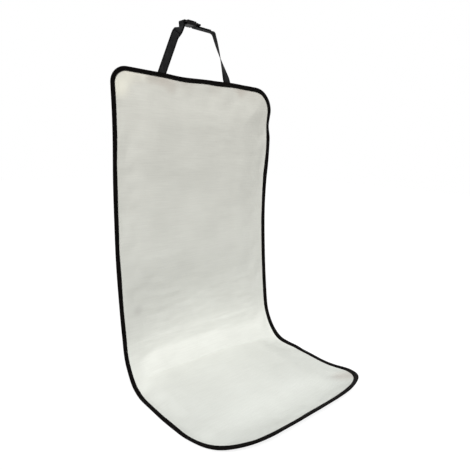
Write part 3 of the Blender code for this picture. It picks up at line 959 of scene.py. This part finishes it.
def sew_tape():
    thread = new_thread("edge_stitching")
    ring = [point + inward * STITCH_INSET for point, inward, _ in OUTLINE]
    walks = [0.0]
    for before, after in zip(ring, ring[1:] + ring[:1]):
        walks.append(walks[-1] + (after - before).length)
    ring.append(ring[0])
    count = round(walks[-1] / STITCH_PITCH)

    def on_ring(walk):
        number = next(k for k in range(len(walks) - 1) if walks[k + 1] >= walk)
        share = (walk - walks[number]) / (walks[number + 1] - walks[number])
        return ring[number].lerp(ring[number + 1], share)

    for number in range(count):
        start_walk = walks[-1] * number / count
        start = on_ring(start_walk)
        end = on_ring(start_walk + walks[-1] / count - STITCH_GAP)
        for face in (1, -1):
            places = [drape(*place, face * HALF_TAPE) for place in (start, end)]
            lift = drape(*start, face * (HALF_TAPE + THREAD_REST)) - places[0]
            add_stitch(thread, *places, lift)
    return dress("edge_stitching", thread, THREAD, "binding_tape")


edge_stitching = sew_tape()
print("edge stitches:", len(edge_stitching.data.splines))

# %% [markdown]
# ## The route of the webbing
# Two lengths of webbing are sewn behind the top edge. The left one leans in, turns edge-on, and is
# pinched round the bar of the socket. The right one turns edge-on at the corner of the loop and is
# threaded over the two bars of the prong. The routes are the same as in the solids, with many more
# points.

# %% The sizes of the loop, as in the solids
WEBBING_WIDTH = 0.0225
WEBBING_THICKNESS = 0.0014
LEFT_STRAP_X = -0.1155
LEFT_STRAP_LEAN = math.radians(22.5)
LEFT_STRAIGHT = 0.090
RIGHT_STRAP_X = 0.085
RIGHT_TWIST_POWER = 1.7
RIGHT_FLAT_RISE = 0.008
SEWN_LENGTH = 0.030
LOOP_RISE = 0.1205
LOOP_CORNER_X = 0.037
LOOP_CORNER_ROUND = 0.007
LOOP_CORNER_FULLNESS = 0.6
TOP_TWIST = math.radians(88)
CORNER_TWIST = math.radians(72)
PINCH_DROP = 0.0095
TAIL_LENGTH = 0.036
BUCKLE_X = -0.0317
BUCKLE_DROP = math.radians(1)
SOCKET_LENGTH = 0.0215
BAR_WIDTH = 0.003
PRONG_THICKNESS = 0.0036
SHOULDER_LENGTH = 0.005
SLOT_MARGIN = 0.0013
STRAP_BEHIND = HALF_TAPE + CLEARANCE + WEBBING_THICKNESS / 2
LAYER_STEP = WEBBING_THICKNESS + 0.0005
WRAP_RADIUS = math.hypot(BAR_WIDTH, PRONG_THICKNESS) / 2 + CLEARANCE + WEBBING_THICKNESS / 2
WEBBING_PASS = SLOT_MARGIN + WEBBING_THICKNESS / 2
SOCKET_BAR_U = -SOCKET_LENGTH - WEBBING_PASS - WRAP_RADIUS
FIRST_BAR_U = SHOULDER_LENGTH + WEBBING_PASS + WRAP_RADIUS
LAST_BAR_U = FIRST_BAR_U + 2 * WRAP_RADIUS
print("webbing wraps at", round(WRAP_RADIUS * 1000, 2), "mm")


# %% Find the buckle
def loop_point(x, rise):
    """A place behind the cover, from its x and its rise over the top edge."""
    return bend(x, PANEL_LENGTH + rise, -STRAP_BEHIND)


def loop_directions():
    """Right, up and out (towards the dog) at the top edge."""
    top = bend(0.0, PANEL_LENGTH, 0.0)
    up = bend(0.0, PANEL_LENGTH + 1, 0.0) - top
    out = bend(0.0, PANEL_LENGTH, 1.0) - top
    return Vector((1, 0, 0)), up, out


def buckle_matrix():
    right, up, out = loop_directions()
    u = right * math.cos(BUCKLE_DROP) - up * math.sin(BUCKLE_DROP)
    down = -right * math.sin(BUCKLE_DROP) - up * math.cos(BUCKLE_DROP)
    v = -(down * math.cos(TOP_TWIST) + out * math.sin(TOP_TWIST))
    matrix = Matrix((u, v, u.cross(v))).transposed().to_4x4()
    matrix.translation = loop_point(BUCKLE_X, LOOP_RISE)
    return matrix


def sewn_base(x):
    """Where a length of webbing crosses the top edge, close behind the real cloth."""
    heights = [relief(x + dx * WEBBING_WIDTH / 2, PANEL_LENGTH - SEWN_LENGTH * share)
               for dx in (-1, 0, 1) for share in (0.0, 0.2, 0.5, 1.0)]
    return loop_point(x, 0.0) + loop_directions()[2] * min(0.0, *heights)


BUCKLE = buckle_matrix()
print("buckle at", [round(value, 4) for value in BUCKLE.translation])

# %% Routes as rows of stations
ROUTE_STEPS = 64
BEND_STEPS = 20
WRAP_STEP = math.radians(10)
FOLD_BACK = 0.022


def turned_in(direction, side):
    """The direction across webbing that lies flat on the back and runs along a direction."""
    return direction.cross(loop_directions()[2]) * side


def stations(points, hints):
    """Places on a route: point, direction across the webbing, direction along it."""
    placed = []
    for number, (point, hint) in enumerate(zip(points, hints)):
        before = points[max(0, number - 1)]
        after = points[min(len(points) - 1, number + 1)]
        tangent = (after - before).normalized()
        across = (hint - tangent * hint.dot(tangent)).normalized()
        placed.append((point, across, tangent))
    return placed


def arc(centre_u, centre_w, start, end):
    """Points round a bar of the buckle, from one angle to another."""
    steps = math.ceil(abs(end - start) / WRAP_STEP)
    places = []
    for k in range(steps + 1):
        angle = start + (end - start) * k / steps
        u = centre_u + WRAP_RADIUS * math.cos(angle)
        w = centre_w + WRAP_RADIUS * math.sin(angle)
        places.append(BUCKLE @ Vector((u, 0.0, w)))
    return places


def left_route():
    right, up, _ = loop_directions()
    v = BUCKLE.to_3x3().col[1]
    lean = right * math.sin(LEFT_STRAP_LEAN) + up * math.cos(LEFT_STRAP_LEAN)
    spread = math.asin(WRAP_RADIUS / PINCH_DROP)
    wrap = arc(SOCKET_BAR_U, 0.0, -spread, math.pi + spread)
    pinch = BUCKLE @ Vector((SOCKET_BAR_U, 0.0, -PINCH_DROP))
    base = sewn_base(LEFT_STRAP_X)
    arrive = (wrap[0] - pinch).normalized()
    fold = base + lean * LEFT_STRAIGHT
    reach = (pinch - fold).length / 2
    handles = fold + lean * reach, pinch - arrive * reach / 2
    turn = interpolate_bezier(fold, *handles, pinch, ROUTE_STEPS)
    flat, upright = turned_in(lean, 1), -v
    hints = [flat.slerp(upright, smooth(k / (ROUTE_STEPS - 1))) for k in range(ROUTE_STEPS)]
    rise = [base + lean * (LEFT_STRAIGHT * k / BEND_STEPS) for k in range(BEND_STEPS)]
    long_layer = stations([base - lean * SEWN_LENGTH, *rise, *turn, wrap[0]],
                          [flat] * (1 + len(rise)) + hints + [upright])
    back = [place for place in long_layer[:-2] if (place[0] - pinch).length < FOLD_BACK][::-1]
    follow = [(point + across.cross(tangent) * LAYER_STEP, across, -tangent)
              for point, across, tangent in back]
    round_bar = stations([*wrap, follow[0][0]], [upright] * (len(wrap) + 1))
    return long_layer[:-1] + round_bar[:-1] + follow


def right_route():
    _, _, out = loop_directions()
    u, v, _ = (BUCKLE.to_3x3().col[k] for k in range(3))
    tail = BUCKLE @ Vector((LAST_BAR_U + TAIL_LENGTH, 0.0, -WRAP_RADIUS))
    threaded = [tail, *arc(LAST_BAR_U, 0.0, -math.pi / 2, -math.pi),
                *arc(FIRST_BAR_U, 0.0, 0.0, math.pi)[1:],
                *arc(FIRST_BAR_U, -LAYER_STEP, math.pi, 1.5 * math.pi)]
    leave = threaded[-1]
    corner = leave + u * ((LOOP_CORNER_X - leave.x) / u.x)
    base = sewn_base(RIGHT_STRAP_X)
    fall = (base - corner).normalized()
    before, after = corner - u * LOOP_CORNER_ROUND, corner + fall * LOOP_CORNER_ROUND
    handles = [end.lerp(corner, LOOP_CORNER_FULLNESS) for end in (before, after)]
    bend_points = interpolate_bezier(before, *handles, after, BEND_STEPS)
    root = base - fall * RIGHT_FLAT_RISE
    drop = [after.lerp(root, (k + 1) / ROUTE_STEPS) for k in range(ROUTE_STEPS)]
    lean = (fall - out * fall.dot(out)).normalized()
    flat, upright = turned_in(-lean, -1), -v
    rolled = flat.slerp(upright, CORNER_TWIST / TOP_TWIST)
    hints = [upright] * len(threaded)
    hints += [upright.slerp(rolled, k / (BEND_STEPS - 1)) for k in range(BEND_STEPS)]
    hints += [rolled.slerp(flat, ((k + 1) / ROUTE_STEPS) ** RIGHT_TWIST_POWER)
              for k in range(ROUTE_STEPS)]
    return stations([*threaded, *bend_points, *drop, base + lean * SEWN_LENGTH], [*hints, flat])


LEFT_ROUTE = left_route()
RIGHT_ROUTE = right_route()
print("left route", len(LEFT_ROUTE), "stations, right route", len(RIGHT_ROUTE))

# %% [markdown]
# ## The webbing
# Webbing is woven in one width, so its two edges are closed and rounded. Polypropylene yarns run
# in a herringbone, glossy on top, with painted shade between. Its edges are coloured darker than
# its middle.

# %% The webbing's finish
EDGE_SHADE_WIDTH = 0.0055
# Painted shade in the grooves of the webbing's weave.
WEBBING_GROOVE_SHADE = (0.002, 0.002, 0.002, 1.0)
WEBBING_BUMP = 0.00035


def make_webbing_finish():
    material, tree, shader = new_material("webbing", roughness=0.55, specular=0.03)
    vector = metres(tree)
    ribs = place_group(tree, RIBBED_WEAVE, vector, Rib_Pitch=0.0019, Zigzag_Width=0.0028,
                       Zigzag_Height=0.0024, Thread_Pitch=0.0007)
    dye = place_group(tree, UNEVEN_DYE, vector, Colour=(0.0075, 0.0076, 0.0080, 1.0),
                      Second_Colour=(0.034, 0.034, 0.035, 1.0), Patch_Scale=40.0,
                      Patch_Strength=0.6, Streak_Stretch=(900.0, 60.0, 1.0), Streak_Strength=0.4)
    split = add_node(tree, "SeparateXYZ", vector)
    folded = calculate(tree, "PINGPONG", split.outputs["X"], WEBBING_WIDTH)
    other = calculate(tree, "SUBTRACT", WEBBING_WIDTH, folded)
    from_edge = calculate(tree, "MINIMUM", folded, other)
    light = add_node(tree, "MapRange", from_edge, From_Max=EDGE_SHADE_WIDTH).outputs[0]
    shade_grooves(tree, shader, ribs, dye.outputs["Colour"], WEBBING_GROOVE_SHADE, 0.4, light)
    add_bump(tree, shader, ribs.outputs["Height"], WEBBING_BUMP)
    return material


WEBBING = make_webbing_finish()
print("webbing finish made")

# %% Make the two lengths of webbing
WEBBING_COLUMNS = 8
SELVEDGE_INSET = 0.3
SELVEDGE_RISE = 0.6


def make_webbing(name, route, solid):
    """A flat section with rounded edges, carried along a route."""
    half = WEBBING_WIDTH / 2
    edge = WEBBING_THICKNESS / 2
    flat = 2 * half - 2 * edge
    top = [(-half + edge + flat * k / WEBBING_COLUMNS, edge) for k in range(WEBBING_COLUMNS + 1)]
    inner, rise = half - edge * SELVEDGE_INSET, edge * SELVEDGE_RISE
    right_edge = [(inner, rise), (half, 0.0), (inner, -rise)]
    section = top + right_edge + [(-x, -w) for x, w in top] + [(-x, -w) for x, w in right_edge]
    around = [half + x if w > 0 else 2 * WEBBING_WIDTH - (half + x) for x, w in section]
    around.append(0.0 if around[-1] < half else 2 * WEBBING_WIDTH)
    rows = []
    for point, across, tangent in route:
        normal = across.cross(tangent)
        rows.append([point + across * x + normal * w for x, w in section])
    return dress(name, skin(name, rows, False, around), WEBBING, "webbing", solid)


webbing_left = make_webbing("webbing_left", LEFT_ROUTE, "strap_left")
webbing_right = make_webbing("webbing_right", RIGHT_ROUTE, "strap_right")
print("webbing:", len(webbing_left.data.polygons) + len(webbing_right.data.polygons), "faces")

# %% [markdown]
# ## The stitching of the webbing
# Each length of webbing is held by two rows of lockstitch through the tape, 4 and 9 mm below the
# top edge. Where the left one is folded round the bar of the socket, three short rows hold its two
# layers together. Such tacks are made with the same thread as the edge, so they are small here too.

# %% Sew the webbing
SEWN_ROWS = (0.004, 0.009)
TACK_ROWS = (2, 4, 6)
ROW_SHARE = 0.84


def sew_row(thread, centre, across, out):
    """Stitches in a row across the webbing, lying on the face that out points from."""
    length = WEBBING_WIDTH * ROW_SHARE
    count = round(length / STITCH_PITCH)
    for number in range(count):
        start = centre + across * (length * (number / count - 0.5))
        end = start + across * (length / count - STITCH_GAP)
        add_stitch(thread, start, end, out * THREAD_REST)


def sew_webbing():
    thread = new_thread("strap_stitching")
    right, _, out = loop_directions()
    half = WEBBING_THICKNESS / 2
    for x, station in ((LEFT_STRAP_X, LEFT_ROUTE[1]), (RIGHT_STRAP_X, RIGHT_ROUTE[-2])):
        _, across, along = station
        up = along if along.z > 0 else -along
        behind = sewn_base(x)
        for below in SEWN_ROWS:
            sew_row(thread, behind - up * below - out * half, across, -out)
            front_x = behind.x - up.x * below
            sew_row(thread, drape(front_x, PANEL_LENGTH - below, HALF_TAPE), right, out)
    for number in TACK_ROWS:
        point, across, tangent = LEFT_ROUTE[-1 - number]
        normal = across.cross(tangent)
        sew_row(thread, point - normal * half, across, -normal)
        sew_row(thread, point + normal * (LAYER_STEP + half), across, normal)
    return dress("strap_stitching", thread, THREAD, "webbing")


strap_stitching = sew_webbing()
print("webbing stitches:", len(strap_stitching.data.splines))

# %% [markdown]
# ## The buckle
# The socket and the prong are moulded in black acetal. They keep the exact shape of the solids.
# Bevels soften their edges as a mould does, and the surface has the fine grain of a spark-eroded
# mould with rubbed, shinier places.

# %% The plastic's finish
GRAIN_BUMP = 0.00006
GRAIN_ROUGH = 0.25
PLASTIC_ROUGH = 0.3
MOULD_ROUNDING = 0.0004


def make_plastic_finish():
    material, tree, shader = new_material("buckle plastic", roughness=0.42, specular=0.09)
    dye = place_group(tree, UNEVEN_DYE, object_place(tree), Colour=(0.0042, 0.0040, 0.0039, 1.0),
                      Second_Colour=(0.0125, 0.0110, 0.0104, 1.0), Patch_Scale=70.0,
                      Patch_Strength=0.7, Streak_Stretch=(2500.0, 2500.0, 2500.0),
                      Streak_Strength=0.25)
    grain = dye.outputs["Streaks"]
    rough = calculate(tree, "MULTIPLY_ADD", grain, GRAIN_ROUGH, PLASTIC_ROUGH)
    fill_named(tree, shader, Base_Color=dye.outputs["Colour"], Roughness=rough)
    add_bump(tree, shader, grain, GRAIN_BUMP)
    return material


PLASTIC = make_plastic_finish()
for name in ("buckle_socket", "buckle_prong"):
    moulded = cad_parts[name]
    moulded.data.materials.clear()
    moulded.data.materials.append(PLASTIC)
    soften = moulded.modifiers.new("moulded edges", "BEVEL")
    soften.width = MOULD_ROUNDING
    soften.segments = 2
    soften.limit_method = "ANGLE"
    print(name, "is moulded")

# %% [markdown] The sewn pieces are all made

print("cloth, tape, stitches and webbing made")

# %% [markdown]
# ## Floor and light
# The cover stands in front of plain white. The floor and the world are seen as white by the
# camera, by mirrors and through glass. The cover itself gets only plain light: a large far key from
# the front left, 46 degrees up, so that the bend faces it and is brightest, a weak fill all round,
# and a small soft lamp over the front edge, which turns away from the key.

# %% Make the floor
FLOOR_REACH = 6.0
FLOOR_GREY = 0.3
FLOOR_GLOW = 0.76


def seen_as_white(tree):
    """1 for rays from the camera, from mirrors and through glass, and 0 for light on the cover."""
    rays = tree.nodes.new("ShaderNodeLightPath").outputs
    mirrored = calculate(tree, "MAXIMUM", rays["Is Glossy Ray"], rays["Is Transmission Ray"])
    return calculate(tree, "MAXIMUM", rays["Is Camera Ray"], mirrored)


def make_floor():
    mesh = bpy.data.meshes.new("floor")
    corners = [(x * FLOOR_REACH, y * FLOOR_REACH, 0.0)
               for x, y in ((-1, -1), (1, -1), (1, 1), (-1, 1))]
    mesh.from_pydata(corners, [], [(0, 1, 2, 3)])
    material, tree, shader = new_material("white floor", roughness=0.9, specular=0.0)
    glow = calculate(tree, "MULTIPLY", seen_as_white(tree), FLOOR_GLOW)
    fill_named(tree, shader, Base_Color=(FLOOR_GREY, FLOOR_GREY, FLOOR_GREY, 1.0),
               Emission_Color=(1.0, 1.0, 1.0, 1.0), Emission_Strength=glow)
    mesh.materials.append(material)
    return add_object("floor", mesh)


floor = make_floor()


# %% Light the scene
def add_lamp(name, kind, place, aim, power):
    lamp = bpy.data.lights.new(name, kind)
    lamp.energy = power
    holder = add_object(name, lamp)
    holder.location = place
    holder.rotation_euler = (Vector(aim) - Vector(place)).to_track_quat("-Z", "Y").to_euler()
    return holder


def light_world(strength):
    """White all round, which lights the cover only at the given strength."""
    world = bpy.data.worlds.new("studio")
    bpy.context.scene.world = world
    world.use_nodes = True
    tree = world.node_tree
    level = calculate(tree, "MULTIPLY_ADD", seen_as_white(tree), 1.0 - strength, strength)
    fill_named(tree, tree.nodes["Background"], Color=(1.0, 1.0, 1.0, 1.0), Strength=level)


KEY_AZIMUTH = math.radians(40)
KEY_ELEVATION = math.radians(46)
KEY_DISTANCE = 4
KEY_POWER = 3.65
KEY_SPREAD = math.radians(24)
FRONT_LAMP_PLACE = (0.0, -0.46, 1.6)
FRONT_LAMP_AIM = (0.0, -0.42, 0.0)
FRONT_LAMP_POWER = 20.0
FRONT_LAMP_CONE = math.radians(34)
FRONT_LAMP_RADIUS = 0.15
FILL_STRENGTH = 0.12

key_place = KEY_DISTANCE * Vector((-math.sin(KEY_AZIMUTH) * math.cos(KEY_ELEVATION),
                                   -math.cos(KEY_AZIMUTH) * math.cos(KEY_ELEVATION),
                                   math.sin(KEY_ELEVATION)))
key = add_lamp("key", "SUN", key_place, (0.0, 0.0, 0.0), KEY_POWER)
key.data.angle = KEY_SPREAD
front_lamp = add_lamp("front lamp", "SPOT", FRONT_LAMP_PLACE, FRONT_LAMP_AIM, FRONT_LAMP_POWER)
front_lamp.data.spot_size = FRONT_LAMP_CONE
front_lamp.data.spot_blend = 1.0
front_lamp.data.shadow_soft_size = FRONT_LAMP_RADIUS
light_world(FILL_STRENGTH)
bpy.context.scene.view_settings.view_transform = "Standard"
print("lit")
